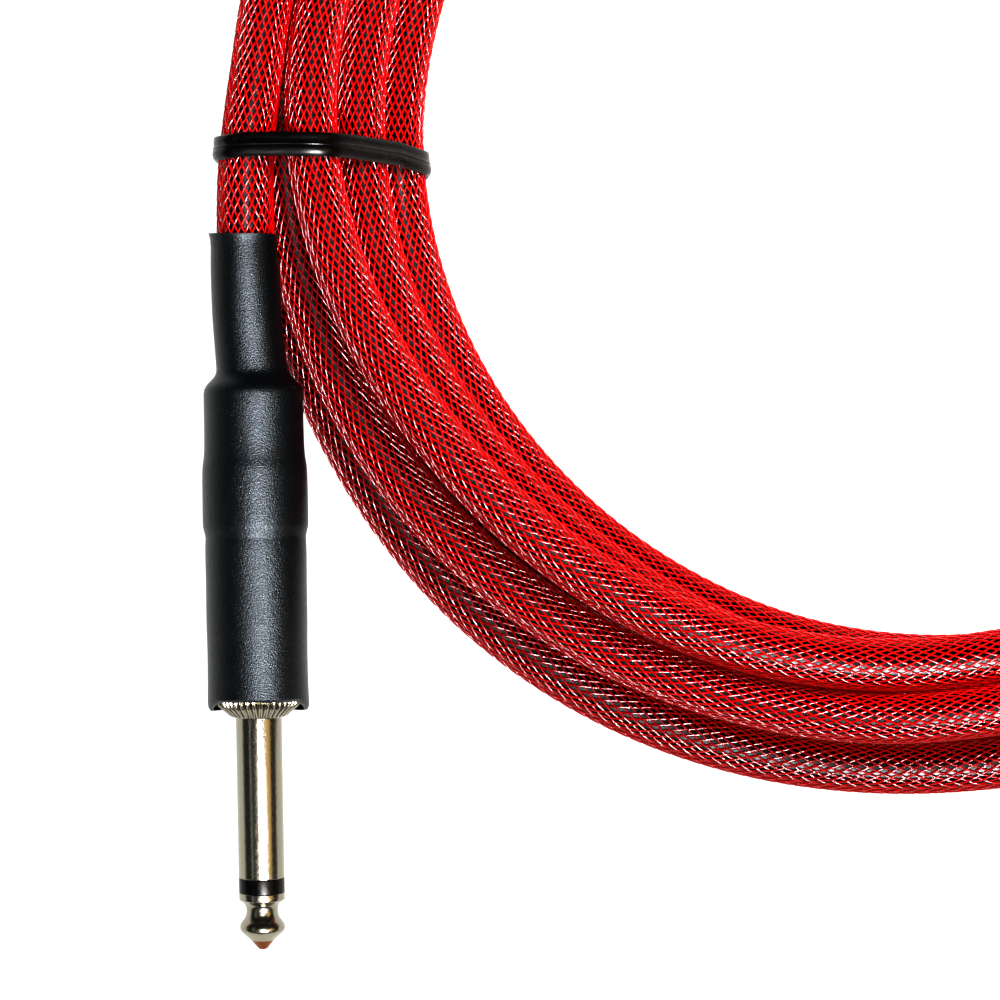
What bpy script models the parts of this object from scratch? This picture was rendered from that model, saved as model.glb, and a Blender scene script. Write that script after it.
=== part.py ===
"""Instrument cable: a braided cord with a straight 6.35 mm phone plug at each end, wound into a
round coil and held by one flat tie. Units are metres, +Z is up and the cable lies on z = 0.

A plug is drawn in its own frame: its tip is at the origin, local +Z runs back along the plug to
the cord, and local +Y is up. Distances along a plug are called s.
"""

import math

import bmesh
import bpy
from mathutils import Matrix, Vector

MM = 0.001
GAP = 0.3 * MM  # clearance kept between pieces that touch on the real cable

# The coil, measured from its own centre
COIL_CENTRE = Vector((2.8, 9.2, 0.0)) * MM
COIL_INNER_R = 67.2 * MM
COIL_OUTER_R = 93.3 * MM
COIL_HEIGHT = 20.3 * MM
COIL_CORNER_R = 3.4 * MM
COIL_SIDES = 60
CORD_R = 3.6 * MM

# The flat tie round the coil, at the coil's left side
TIE_THICKNESS = 0.9 * MM
TIE_WIDTH = 3.3 * MM
TIE_ANGLE = math.radians(180.8)
TIE_INNER_R = COIL_INNER_R - GAP
TIE_OUTER_R = 97.0 * MM  # it also goes round the plug's lead, which lies outside the coil
TIE_CORNER_R = 0.8 * MM
TIE_FLOOR_GAP = 0.05 * MM

# Plug stations: distances s from the tip
S_TIP_REST = 3.4 * MM  # where plug A's tip touches the floor
S_TIP_END = 8.0 * MM
S_SHAFT = 10.07 * MM
S_COLLAR = 32.2 * MM
S_LIP = 33.3 * MM
S_FLANGE = 34.4 * MM
S_BARREL = 36.2 * MM
S_HUB_END = 41.3 * MM
S_OVERLAP = 57.5 * MM
S_FRONT_SLEEVE_END = 67.5 * MM
S_SHOULDER = 77.2 * MM
S_NECK = 79.8 * MM
S_REAR = 99.0 * MM

# Plug radii
CONTACT_R = 3.175 * MM
SHAFT_BORE_R = 2.2 * MM
ROD_R = 1.0 * MM
ROD_TUBE_R = 1.9 * MM
HUB_R = 5.5 * MM
FLANGE_R = 6.1 * MM
BARREL_R = 6.2 * MM
BARREL_BORE_R = 5.8 * MM
LINER_R = 5.5 * MM
LINER_WALL = 0.3 * MM
JACKET_R = 3.5 * MM
FRONT_SLEEVE_R = 6.95 * MM
FRONT_SLEEVE_BORE_R = 6.45 * MM
OVERLAP_R = 7.215 * MM
BODY_SLEEVE_R = 6.83 * MM
NECK_SLEEVE_R = 4.85 * MM
NECK_BORE_R = 4.2 * MM
CLAMP_R = 3.85 * MM
STRIP_THICKNESS = 0.6 * MM
NECK_BEND = 0.6 * MM  # how far the cord's exit lies to the side of the plug's axis

BIG_SIDES = 24
SMALL_SIDES = 12

# Where the plugs lie: the tip from the coil's centre, the heading from tip to cord, and the slope
PLUG_A_TIP = Vector((-90.64, -111.60, 2.84)) * MM
PLUG_A_HEADING = math.radians(90.84)
PLUG_A_SLOPE = math.atan((FRONT_SLEEVE_R - CONTACT_R) / (S_FLANGE - S_TIP_REST))
PLUG_B_TIP = Vector((61.87, -17.33, 7.27)) * MM
PLUG_B_HEADING = math.radians(135.0)
PLUG_B_SLOPE = 0.0

# The cord between each plug and the coil, from the plug, measured from the coil's centre
LEAD_A_ROUTE_MM = [
    (-92.70, -13.02, 14.85),
    (-92.68, -6.00, 15.70),
    (-92.10, 1.50, 16.40),
    (-91.05, 9.50, 16.75),
    (-89.52, 19.34, 16.80),
    (-86.35, 30.50, 16.80),
]
LEAD_B_ROUTE_MM = [
    (-8.62, 52.66, 7.25),
    (-12.70, 56.60, 7.10),
    (-20.20, 60.50, 6.40),
    (-29.00, 61.85, 5.40),
    (-38.00, 60.05, 4.30),
    (-46.00, 55.50, 3.80),
    (-53.10, 48.60, 3.70),
]
LEAD_STEP = 6.0 * MM
LEAD_BEVEL_RESOLUTION = 4


def clear_scene():
    for thing in list(bpy.data.objects):
        bpy.data.objects.remove(thing, do_unlink=True)


def make_material(name, colour, roughness, metallic=0.0):
    material = bpy.data.materials.new(name)
    material.use_nodes = True
    shader = material.node_tree.nodes["Principled BSDF"]
    shader.inputs["Base Color"].default_value = (*colour, 1.0)
    shader.inputs["Roughness"].default_value = roughness
    shader.inputs["Metallic"].default_value = metallic
    return material


def add_mesh_object(name, bm, material):
    """A new object from a bmesh, shaded smooth with sharp edges kept."""
    bmesh.ops.recalc_face_normals(bm, faces=bm.faces[:])
    mesh = bpy.data.meshes.new(name)
    bm.to_mesh(mesh)
    bm.free()
    mesh.shade_smooth()
    mesh.set_sharp_from_angle(angle=math.radians(35))
    mesh.materials.append(material)
    thing = bpy.data.objects.new(name, mesh)
    bpy.context.collection.objects.link(thing)
    return thing


def bridge(bm, ring_a, ring_b):
    """Faces between two rings, where a ring of one vertex is a point on the axis."""
    count = max(len(ring_a), len(ring_b))
    for i in range(count):
        j = (i + 1) % count
        corners = [ring_a[i % len(ring_a)], ring_a[j % len(ring_a)]]
        corners += [ring_b[j % len(ring_b)], ring_b[i % len(ring_b)]]
        bm.faces.new(list(dict.fromkeys(corners)))


def add_ring(bm, centre, across, up, radius, sides):
    if radius == 0:
        return [bm.verts.new(centre)]
    ring = []
    for i in range(sides):
        angle = 2 * math.pi * i / sides
        ring.append(bm.verts.new(centre + radius * (math.cos(angle) * across + math.sin(angle) * up)))
    return ring


def turned(name, outline, sides, material):
    """A solid turned about local Z. The outline is (s, radius) points: along the outside, then
    back along the bore, or from axis to axis on a piece with no bore."""
    bm = bmesh.new()
    across, up = Vector((1, 0, 0)), Vector((0, 1, 0))
    rings = [add_ring(bm, Vector((0, 0, s)), across, up, radius, sides) for s, radius in outline]
    for ring_a, ring_b in zip(rings, rings[1:]):
        bridge(bm, ring_a, ring_b)
    if outline[0][1] > 0:
        bridge(bm, rings[-1], rings[0])
    return add_mesh_object(name, bm, material)


def box_mesh(bm, low, high):
    size = Vector(high) - Vector(low)
    middle = (Vector(high) + Vector(low)) / 2
    place = Matrix.Translation(middle) @ Matrix.Diagonal((*size, 1))
    bmesh.ops.create_cube(bm, size=1, matrix=place)


def smooth_route(points, step):
    """Points about a step apart on a smooth curve through the given points."""
    route = []
    padded = [2 * points[0] - points[1], *points, 2 * points[-1] - points[-2]]
    for a, b, c, d in zip(padded, padded[1:], padded[2:], padded[3:]):
        count = max(1, round((c - b).length / step))
        for i in range(count):
            t = i / count
            route.append(
                0.5 * (2 * b + (c - a) * t + (2 * a - 5 * b + 4 * c - d) * t**2
                       + (3 * b - a - 3 * c + d) * t**3)
            )
    return [*route, points[-1]]


def tube_curve(name, points, radius, material, bevel_resolution=LEAD_BEVEL_RESOLUTION):
    """A round tube with filled ends along a list of points."""
    curve = bpy.data.curves.new(name, "CURVE")
    curve.dimensions = "3D"
    curve.bevel_depth = radius
    curve.bevel_resolution = bevel_resolution
    curve.use_fill_caps = True
    spline = curve.splines.new("POLY")
    spline.points.add(len(points) - 1)
    for point, place in zip(spline.points, points):
        point.co = (*place, 1)
    curve.materials.append(material)
    thing = bpy.data.objects.new(name, curve)
    bpy.context.collection.objects.link(thing)
    return thing


def neck_offset(s):
    """How far the cord's path inside the plug lies to the side of the axis."""
    past = max(0.0, s - S_SHOULDER) / (S_REAR - S_SHOULDER)
    return NECK_BEND * past**2


def swept_sleeve(name, outside, bore, sides, material):
    """A tube along the plug's slightly bent path, with its radii at each station."""
    bm = bmesh.new()
    across, up = Vector((1, 0, 0)), Vector((0, 1, 0))
    rings = []
    for s, radius in [*outside, *reversed(bore)]:
        rings.append(add_ring(bm, Vector((neck_offset(s), 0, s)), across, up, radius, sides))
    for ring_a, ring_b in zip(rings, rings[1:] + rings[:1]):
        bridge(bm, ring_a, ring_b)
    return add_mesh_object(name, bm, material)


# The pieces of one plug. Each function returns one piece, drawn in the plug's own frame.


def tip_contact(name, material):
    nose = [(0.0, 0.0), (0.15, 0.75), (1.4, 1.6), (2.5, 2.95), (3.1, 3.175), (3.9, 2.98)]
    waist = [(4.8, 2.4), (5.7, 2.16), (6.4, 2.5), (6.9, 3.175)]
    outline = [(s * MM, radius * MM) for s, radius in nose + waist]
    rear = S_TIP_END - GAP / 2
    bore = ROD_R + GAP
    outline += [(rear, CONTACT_R), (rear, bore), (4.6 * MM, bore), (4.6 * MM, 0.0)]
    return turned(name, outline, BIG_SIDES, material)


def tip_ring(name, material):
    front, rear = S_TIP_END + GAP / 2, S_SHAFT - GAP / 2
    bore = ROD_R + GAP
    outline = [(front, CONTACT_R), (rear, CONTACT_R), (rear, bore), (front, bore)]
    return turned(name, outline, BIG_SIDES, material)


def shaft(name, material):
    front, rear = S_SHAFT + GAP / 2, S_BARREL
    outline = [(front, CONTACT_R), (rear, CONTACT_R), (rear, SHAFT_BORE_R), (front, SHAFT_BORE_R)]
    return turned(name, outline, BIG_SIDES, material)


def collar(name, material):
    front_r, cone_r = 4.5 * MM, 5.7 * MM
    seat = S_BARREL + GAP
    outline = [
        (S_COLLAR, front_r),
        (S_FLANGE - 0.2 * MM, cone_r),
        (S_FLANGE, FLANGE_R),
        (S_BARREL - GAP, FLANGE_R),
        (S_BARREL - GAP, HUB_R),
        (S_HUB_END, HUB_R),
        (S_HUB_END, SHAFT_BORE_R),
        (seat, SHAFT_BORE_R),
        (seat, CONTACT_R + GAP),
        (S_COLLAR, CONTACT_R + GAP),
    ]
    return turned(name, outline, BIG_SIDES, material)


def centre_rod(name, material):
    front, rear = 4.6 * MM + GAP, S_HUB_END + 2.6 * MM
    head_r, head = 1.6 * MM, 0.9 * MM
    outline = [(front, 0), (front, ROD_R), (rear, ROD_R), (rear, head_r), (rear + head, head_r)]
    return turned(name, [*outline, (rear + head, 0)], SMALL_SIDES, material)


def rod_tube(name, material):
    front, rear = S_SHAFT + GAP, S_HUB_END
    bore = ROD_R + GAP
    outline = [(front, ROD_TUBE_R), (rear, ROD_TUBE_R), (rear, bore), (front, bore)]
    return turned(name, outline, SMALL_SIDES, material)


def rear_washer(name, material):
    front, rear = S_HUB_END + GAP, S_HUB_END + 1.4 * MM
    outer, bore = 3.5 * MM, ROD_R + GAP
    outline = [(front, outer), (rear, outer), (rear, bore), (front, bore)]
    return turned(name, outline, SMALL_SIDES, material)


def join_with_union(base, other):
    """Unites two closed pieces into one body, and removes the second."""
    union = base.modifiers.new("join", "BOOLEAN")
    union.operation = "UNION"
    union.solver = "EXACT"
    union.object = other
    other.hide_render = True
    other.display_type = "WIRE"


def tip_lug(name, material):
    """A round solder eyelet with a tongue that the core is soldered to."""
    front, rear = S_HUB_END + 1.7 * MM, S_HUB_END + 2.3 * MM
    eyelet_r, tongue_length, tongue_half = 3.0 * MM, 7.5 * MM, 1.4 * MM
    bore = ROD_R + GAP
    outline = [(front, eyelet_r), (rear, eyelet_r), (rear, bore), (front, bore)]
    lug = turned(name, outline, SMALL_SIDES, material)
    bm = bmesh.new()
    low = (-tongue_half, 2.15 * MM, front + 0.1 * MM)
    box_mesh(bm, low, (tongue_half, 2.75 * MM, front + tongue_length))
    join_with_union(lug, add_mesh_object(name + "_tongue", bm, material))
    return lug


def ground_terminal(name, material):
    """A strip along the barrel that ends in a clamp crimped round the cord's jacket."""
    strip_half, clamp_front, clamp_rear = 1.8 * MM, 58.0 * MM, 64.0 * MM
    outer_r = CLAMP_R + STRIP_THICKNESS
    bm = bmesh.new()
    arc_count, opening = 14, math.radians(50)
    inner, outer = [], []
    for i in range(arc_count + 1):
        angle = math.pi / 2 + opening / 2 + (2 * math.pi - opening) * i / arc_count
        outward = Vector((math.cos(angle), math.sin(angle), 0))
        inner.append(CLAMP_R * outward)
        outer.append(outer_r * outward)
    front = [bm.verts.new(p + Vector((0, 0, clamp_front))) for p in outer + inner[::-1]]
    rear = [bm.verts.new(p + Vector((0, 0, clamp_rear))) for p in outer + inner[::-1]]
    bridge(bm, front, rear)
    for ring in (front, rear):
        for i in range(arc_count):
            bm.faces.new([ring[i], ring[i + 1], ring[-2 - i], ring[-1 - i]])
    terminal = add_mesh_object(name, bm, material)
    bm = bmesh.new()
    low = (-strip_half, -outer_r - 0.05 * MM, S_HUB_END + GAP)
    box_mesh(bm, low, (strip_half, -CLAMP_R - 0.05 * MM, clamp_rear - 0.5 * MM))
    join_with_union(terminal, add_mesh_object(name + "_strip", bm, material))
    return terminal


def liner(name, material):
    front, rear = S_HUB_END + 1.5 * MM, S_SHOULDER - 2.0 * MM
    bore = LINER_R - LINER_WALL
    outline = [(front, LINER_R), (rear, LINER_R), (rear, bore), (front, bore)]
    return turned(name, outline, BIG_SIDES, material)


def barrel(name, material):
    rear = S_NECK - 0.8 * MM
    rear_r, hole_r = 4.4 * MM, 3.9 * MM
    outline = [
        (S_BARREL, BARREL_R),
        (S_SHOULDER - 0.2 * MM, BARREL_R),
        (rear, rear_r),
        (rear, hole_r),
        (S_SHOULDER - 0.6 * MM, BARREL_BORE_R),
        (S_BARREL, BARREL_BORE_R),
    ]
    return turned(name, outline, BIG_SIDES, material)


def front_sleeve(name, material):
    under_r = OVERLAP_R - 0.45 * MM
    rear = S_FRONT_SLEEVE_END
    outline = [
        (S_LIP, FRONT_SLEEVE_R - 0.25 * MM),
        (S_LIP + 0.6 * MM, FRONT_SLEEVE_R),
        (S_OVERLAP - 0.5 * MM, FRONT_SLEEVE_R),
        (S_OVERLAP - 0.3 * MM, under_r),
        (rear, under_r),
        (rear, FRONT_SLEEVE_BORE_R),
        (S_LIP, FRONT_SLEEVE_BORE_R),
    ]
    return turned(name, outline, BIG_SIDES, material)


def rear_sleeve_outside(extra=0.0):
    """Outer radius of the rear sleeve at its stations."""
    stations = [
        (S_OVERLAP, OVERLAP_R),
        (S_FRONT_SLEEVE_END + 0.1 * MM, OVERLAP_R),
        (S_FRONT_SLEEVE_END + 1.0 * MM, BODY_SLEEVE_R),
        (S_SHOULDER + 0.1 * MM, BODY_SLEEVE_R),
        (S_NECK, NECK_SLEEVE_R),
        (S_NECK + 6.0 * MM, NECK_SLEEVE_R),
        (S_NECK + 13.0 * MM, NECK_SLEEVE_R - 0.05 * MM),
        (S_REAR, NECK_SLEEVE_R - 0.1 * MM),
    ]
    return [(s, radius + extra) for s, radius in stations]


def rear_sleeve(name, material):
    bore = [
        (S_OVERLAP, OVERLAP_R - 0.27 * MM),
        (S_FRONT_SLEEVE_END + GAP, OVERLAP_R - 0.27 * MM),
        (S_FRONT_SLEEVE_END + 1.1 * MM, BARREL_R + GAP),
        (S_SHOULDER - 0.1 * MM, BARREL_R + GAP),
        (S_NECK - 0.5 * MM, NECK_BORE_R + 0.35 * MM),
        (S_NECK + 6.0 * MM, NECK_BORE_R),
        (S_NECK + 13.0 * MM, NECK_BORE_R),
        (S_REAR, NECK_BORE_R),
    ]
    return swept_sleeve(name, rear_sleeve_outside(), bore, BIG_SIDES, material)


def jacket_end(name, material):
    """The cord inside the plug, from the clamp to the sleeve's rear edge."""
    stations = [56.0 * MM, S_SHOULDER, S_NECK + 6.0 * MM, S_NECK + 13.0 * MM, S_REAR]
    points = [Vector((neck_offset(s), 0, s)) for s in stations]
    return tube_curve(name, points, JACKET_R, material)


def core(name, material):
    points = [(0, 0.3, 55.7), (0, 0.6, 54.0), (0, 1.3, 52.0), (0, 1.5, 50.5)]
    return tube_curve(name, [Vector(p) * MM for p in points], 1.1 * MM, material, 2)


def conductor(name, material):
    points = [(0, 1.5, 50.2), (0, 1.5, 45.6)]
    return tube_curve(name, [Vector(p) * MM for p in points], 0.35 * MM, material, 2)


def shield_pigtail(name, material):
    points = [(0, -1.8, 55.7), (0, -2.2, 54.0), (0, -2.9, 51.5), (0, -3.0, 47.5)]
    return tube_curve(name, [Vector(p) * MM for p in points], 0.45 * MM, material, 2)


PLUG_PIECES = [
    ("tip_contact", tip_contact, "nickel"),
    ("tip_insulator", tip_ring, "black plastic"),
    ("sleeve_contact", shaft, "nickel"),
    ("serrated_collar", collar, "nickel"),
    ("centre_rod", centre_rod, "brass"),
    ("rod_insulator", rod_tube, "black plastic"),
    ("rear_washer", rear_washer, "black plastic"),
    ("tip_lug", tip_lug, "tinned metal"),
    ("ground_terminal", ground_terminal, "tinned metal"),
    ("barrel_liner", liner, "clear plastic"),
    ("barrel", barrel, "nickel"),
    ("front_sleeve", front_sleeve, "heat shrink"),
    ("rear_sleeve", rear_sleeve, "heat shrink"),
    ("jacket_end", jacket_end, "jacket"),
    ("core_insulation", core, "core"),
    ("tip_conductor", conductor, "copper"),
    ("shield_pigtail", shield_pigtail, "copper"),
]


def plug_frame(name, tip, heading, slope):
    """An empty at the tip: local +Z runs back along the plug, rising at the slope."""
    back = Vector((math.cos(heading), math.sin(heading), 0)) * math.cos(slope)
    back.z = math.sin(slope)
    side = Vector((0, 0, 1)).cross(back).normalized()
    upward = back.cross(side)
    turn = Matrix((side, upward, back)).transposed().to_4x4()
    frame = bpy.data.objects.new(name, None)
    frame.matrix_world = Matrix.Translation(COIL_CENTRE + tip) @ turn
    bpy.context.collection.objects.link(frame)
    return frame


def add_plug(letter, tip, heading, slope, materials):
    frame = plug_frame(f"plug_{letter}_frame", tip, heading, slope)
    for piece_name, make, material in PLUG_PIECES:
        before = set(bpy.data.objects)
        make(f"plug_{letter}_{piece_name}", materials[material])
        for thing in set(bpy.data.objects) - before:
            thing.parent = frame
    return frame


def rounded_outline(inner_r, outer_r, low, high, corner, steps):
    """A rounded rectangle as (radius, height) points, starting at its outer lower corner."""
    outline = []
    corners = [
        (outer_r - corner, low + corner, -90),
        (outer_r - corner, high - corner, 0),
        (inner_r + corner, high - corner, 90),
        (inner_r + corner, low + corner, 180),
    ]
    for radius, height, start in corners:
        for i in range(steps + 1):
            angle = math.radians(start + 90 * i / steps)
            outline.append((radius + corner * math.cos(angle), height + corner * math.sin(angle)))
    return outline


def lead_points(route_mm):
    return smooth_route([COIL_CENTRE + Vector(point) * MM for point in route_mm], LEAD_STEP)


def lengthened(points, start, end):
    """The same route, with its two ends moved out along the route."""
    first = points[0] + (points[0] - points[1]).normalized() * start
    last = points[-1] + (points[-1] - points[-2]).normalized() * end
    return [first, *points[1:-1], last]


def coil_tie(name, material):
    """The tie's closed band round the coil and plug A's lead."""
    inner = rounded_outline(
        TIE_INNER_R, TIE_OUTER_R, TIE_FLOOR_GAP + TIE_THICKNESS, COIL_HEIGHT + GAP, TIE_CORNER_R, 3
    )
    outer = rounded_outline(
        TIE_INNER_R - TIE_THICKNESS, TIE_OUTER_R + TIE_THICKNESS, TIE_FLOOR_GAP,
        COIL_HEIGHT + GAP + TIE_THICKNESS, TIE_CORNER_R + TIE_THICKNESS, 3,
    )
    bm = bmesh.new()
    outward = Vector((math.cos(TIE_ANGLE), math.sin(TIE_ANGLE), 0))
    along = Vector((-outward.y, outward.x, 0))
    loops = []
    for outline, side in ((outer, -1), (outer, 1), (inner, 1), (inner, -1)):
        shift = COIL_CENTRE + along * side * TIE_WIDTH / 2
        loops.append([bm.verts.new(shift + outward * r + Vector((0, 0, z))) for r, z in outline])
    for loop_a, loop_b in zip(loops, loops[1:] + loops[:1]):
        bridge(bm, loop_a, loop_b)
    return add_mesh_object(name, bm, material)


def cut(target, cutter):
    cutter.hide_render = True
    cutter.display_type = "WIRE"
    difference = target.modifiers.new("cut", "BOOLEAN")
    difference.operation = "DIFFERENCE"
    difference.solver = "EXACT"
    difference.object = cutter


def curve_to_mesh(thing):
    """Turns a tube curve into a mesh object, so that it can cut."""
    mesh = bpy.data.meshes.new_from_object(thing)
    solid = bpy.data.objects.new(thing.name + "_solid", mesh)
    bpy.context.collection.objects.link(solid)
    bpy.data.objects.remove(thing)
    return solid


def plug_channel_cutter(frame, material):
    """A fatter copy of plug A's rear sleeve, which lies partly in the coil's outer edge."""
    bm = bmesh.new()
    across, up = Vector((1, 0, 0)), Vector((0, 1, 0))
    outside = rear_sleeve_outside(extra=GAP)
    rings = [
        add_ring(bm, Vector((neck_offset(s), 0, s)), across, up, radius, BIG_SIDES)
        for s, radius in outside
    ]
    for ring_a, ring_b in zip(rings, rings[1:]):
        bridge(bm, ring_a, ring_b)
    bm.faces.new(rings[0])
    bm.faces.new(rings[-1])
    cutter = add_mesh_object("cut_for_plug_a", bm, material)
    cutter.parent = frame
    return cutter


def tie_channel_cutter(material):
    """A block under the coil that makes room for the tie's lower run."""
    bm = bmesh.new()
    half = TIE_WIDTH / 2 + GAP
    low = (COIL_INNER_R - 5 * MM, -half, -1 * MM)
    high = (COIL_OUTER_R + 5 * MM, half, TIE_FLOOR_GAP + TIE_THICKNESS + GAP)
    box_mesh(bm, low, high)
    bmesh.ops.rotate(bm, verts=bm.verts[:], matrix=Matrix.Rotation(TIE_ANGLE, 3, "Z"))
    bmesh.ops.translate(bm, verts=bm.verts[:], vec=COIL_CENTRE)
    return add_mesh_object("cut_for_tie", bm, material)


def add_coil(plug_a, materials):
    """The coil's outer shape as a turned ring, with channels for what lies in it."""
    outline = rounded_outline(
        COIL_INNER_R, COIL_OUTER_R, 0.0, COIL_HEIGHT, COIL_CORNER_R, 3
    )
    bm = bmesh.new()
    across, up = Vector((1, 0, 0)), Vector((0, 1, 0))
    rings = [
        add_ring(bm, COIL_CENTRE + Vector((0, 0, height)), across, up, radius, COIL_SIDES)
        for radius, height in outline
    ]
    for ring_a, ring_b in zip(rings, rings[1:] + rings[:1]):
        bridge(bm, ring_a, ring_b)
    coil = add_mesh_object("cord_coil", bm, materials["cord"])
    cut(coil, plug_channel_cutter(plug_a, materials["cord"]))
    cut(coil, tie_channel_cutter(materials["cord"]))
    for letter, route in (("a", LEAD_A_ROUTE_MM), ("b", LEAD_B_ROUTE_MM)):
        points = lengthened(lead_points(route), 2 * MM, GAP)
        channel = tube_curve(f"cut_for_lead_{letter}", points, CORD_R + GAP, materials["cord"])
        cut(coil, curve_to_mesh(channel))
    return coil


def main():
    clear_scene()
    materials = {
        "nickel": make_material("nickel", (0.62, 0.60, 0.56), 0.22, 1.0),
        "brass": make_material("brass", (0.70, 0.52, 0.25), 0.3, 1.0),
        "tinned metal": make_material("tinned metal", (0.60, 0.60, 0.58), 0.4, 1.0),
        "copper": make_material("copper", (0.72, 0.38, 0.22), 0.35, 1.0),
        "black plastic": make_material("black plastic", (0.012, 0.012, 0.013), 0.35),
        "clear plastic": make_material("clear plastic", (0.75, 0.75, 0.72), 0.25),
        "heat shrink": make_material("heat shrink", (0.014, 0.015, 0.016), 0.5),
        "jacket": make_material("jacket", (0.012, 0.012, 0.012), 0.45),
        "core": make_material("core", (0.80, 0.78, 0.72), 0.4),
        "cord": make_material("cord", (0.60, 0.004, 0.012), 0.35),
        "tie": make_material("tie", (0.012, 0.012, 0.012), 0.3),
    }
    plug_a = add_plug("a", PLUG_A_TIP, PLUG_A_HEADING, PLUG_A_SLOPE, materials)
    add_plug("b", PLUG_B_TIP, PLUG_B_HEADING, PLUG_B_SLOPE, materials)
    bpy.context.view_layer.update()
    add_coil(plug_a, materials)
    tube_curve("cord_lead_a", lead_points(LEAD_A_ROUTE_MM), CORD_R, materials["cord"])
    tube_curve("cord_lead_b", lead_points(LEAD_B_ROUTE_MM), CORD_R, materials["cord"])
    coil_tie("coil_tie", materials["tie"])


main()
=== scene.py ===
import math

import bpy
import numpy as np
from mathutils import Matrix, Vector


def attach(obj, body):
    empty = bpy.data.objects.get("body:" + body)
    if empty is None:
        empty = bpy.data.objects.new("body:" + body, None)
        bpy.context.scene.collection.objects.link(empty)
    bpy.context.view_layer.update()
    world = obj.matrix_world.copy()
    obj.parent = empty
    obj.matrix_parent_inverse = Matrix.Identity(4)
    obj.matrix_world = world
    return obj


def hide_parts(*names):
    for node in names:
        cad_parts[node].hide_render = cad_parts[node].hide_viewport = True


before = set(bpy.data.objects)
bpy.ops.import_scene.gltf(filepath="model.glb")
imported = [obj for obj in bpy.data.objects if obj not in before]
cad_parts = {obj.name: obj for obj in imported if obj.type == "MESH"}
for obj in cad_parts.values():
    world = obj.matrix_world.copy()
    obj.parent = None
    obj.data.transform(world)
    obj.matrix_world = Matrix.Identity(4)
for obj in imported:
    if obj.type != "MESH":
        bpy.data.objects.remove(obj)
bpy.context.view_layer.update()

# The looks of the instrument cable: its braided cord in a tied coil, and its two phone plugs.
# Lengths in this file are in millimetres unless a name ends in _M, and meshes are made in metres.
# A plug is drawn in its own frame, as in the CAD model: its tip is at the origin, local +Z runs
# back along the plug to the cord, and local +Y is up. Distances along a plug are called s.

MM = 0.001
TAU = 2 * math.pi

# The cord and its coil
COIL_CENTRE = np.array((2.8, 9.2, 0.0))
CORD_R = 3.6
STRAND_PITCH = 7.12  # least distance between two strands' centres
DEG_STEP = 2.5  # between the coil's sections
STEPS_PER_TURN = round(360 / DEG_STEP)
SETTLING_STEPS = 300
PULL_TO_PLAN = 0.06  # in each settling step, the share of the way back to the planned place
EASING = 0.25  # in each smoothing step, the weight of a point's two neighbours
LEAD_STEP = 3.0  # between points on the leads' curves
FINE_STEP = 0.5  # between points on the whole cord's curve, before they are spaced evenly
ROUTE_STEP = 1.0  # between points on the finished route

# The cord between each plug and the coil, from the plug, measured from the coil's centre
LEAD_A_ROUTE = [
    (-92.70, -13.02, 14.85),
    (-92.68, -6.00, 15.70),
    (-92.10, 1.50, 16.40),
    (-91.05, 9.50, 16.75),
    (-89.52, 19.34, 16.80),
    (-86.35, 30.50, 16.80),
]
LEAD_B_ROUTE = [
    (-8.62, 52.66, 7.25),
    (-12.70, 56.60, 7.10),
    (-20.20, 60.50, 6.40),
    (-29.00, 61.85, 5.40),
    (-38.00, 60.05, 4.30),
    (-46.00, 55.50, 3.80),
    (-53.10, 48.60, 3.70),
]

# How the cord lies in the coil, one row for each time that it passes the tie, in the order that it
# runs from plug A. A station is (degrees past the tie, clockwise from above; radius; height).
PASSES = [
    [(60, 91.2, 16.8), (95, 89.0, 16.6), (130, 80.0, 16.6), (165, 72.6, 16.2)],
    [(-97, 71.5, 16.2), (-80, 72.9, 16.5), (-60, 74.7, 16.9), (-45, 76.2, 17.1), (-30, 78.2, 17.1),
     (-15, 81.4, 17.1), (0, 84.1, 17.2), (14, 84.5, 17.0), (50, 82.0, 14.5), (95, 76.0, 9.8),
     (165, 76.0, 9.8), (210, 78.9, 16.0)],
    [(-97, 78.2, 16.2), (-80, 79.6, 14.0), (-60, 82.0, 11.5), (-45, 83.9, 10.5), (-30, 85.9, 10.2),
     (-15, 87.0, 9.8), (-8, 87.6, 9.7), (0, 88.1, 10.6), (14, 88.1, 10.3), (60, 85.0, 9.9),
     (215, 83.2, 9.8)],
    [(-97, 86.0, 3.6), (-80, 87.0, 3.6), (-60, 88.5, 3.6), (-45, 89.3, 3.6), (-30, 89.2, 3.6),
     (-18, 89.3, 3.6), (-8, 91.0, 3.6), (0, 91.4, 3.6), (14, 90.0, 3.6), (60, 88.0, 3.6),
     (230, 86.6, 3.6)],
    [(-97, 79.1, 3.6), (-60, 80.7, 3.6), (-30, 81.3, 3.6), (14, 81.4, 3.6), (60, 79.8, 3.6),
     (200, 79.5, 3.6)],
    [(-125, 75.9, 9.9), (-97, 75.4, 10.1), (-80, 74.1, 10.1), (-60, 73.2, 10.1), (-45, 73.5, 10.1),
     (-30, 74.8, 10.1), (-15, 76.4, 10.1), (0, 77.4, 10.1), (14, 77.9, 10.1), (45, 76.5, 8.5),
     (75, 72.5, 3.6)],
    [(-97, 72.2, 3.6), (-80, 71.8, 3.6), (-60, 70.9, 3.6), (-45, 70.8, 3.6), (-30, 71.2, 3.6),
     (-15, 71.8, 3.6), (0, 72.2, 3.6), (14, 71.9, 3.6)],
]

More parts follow.
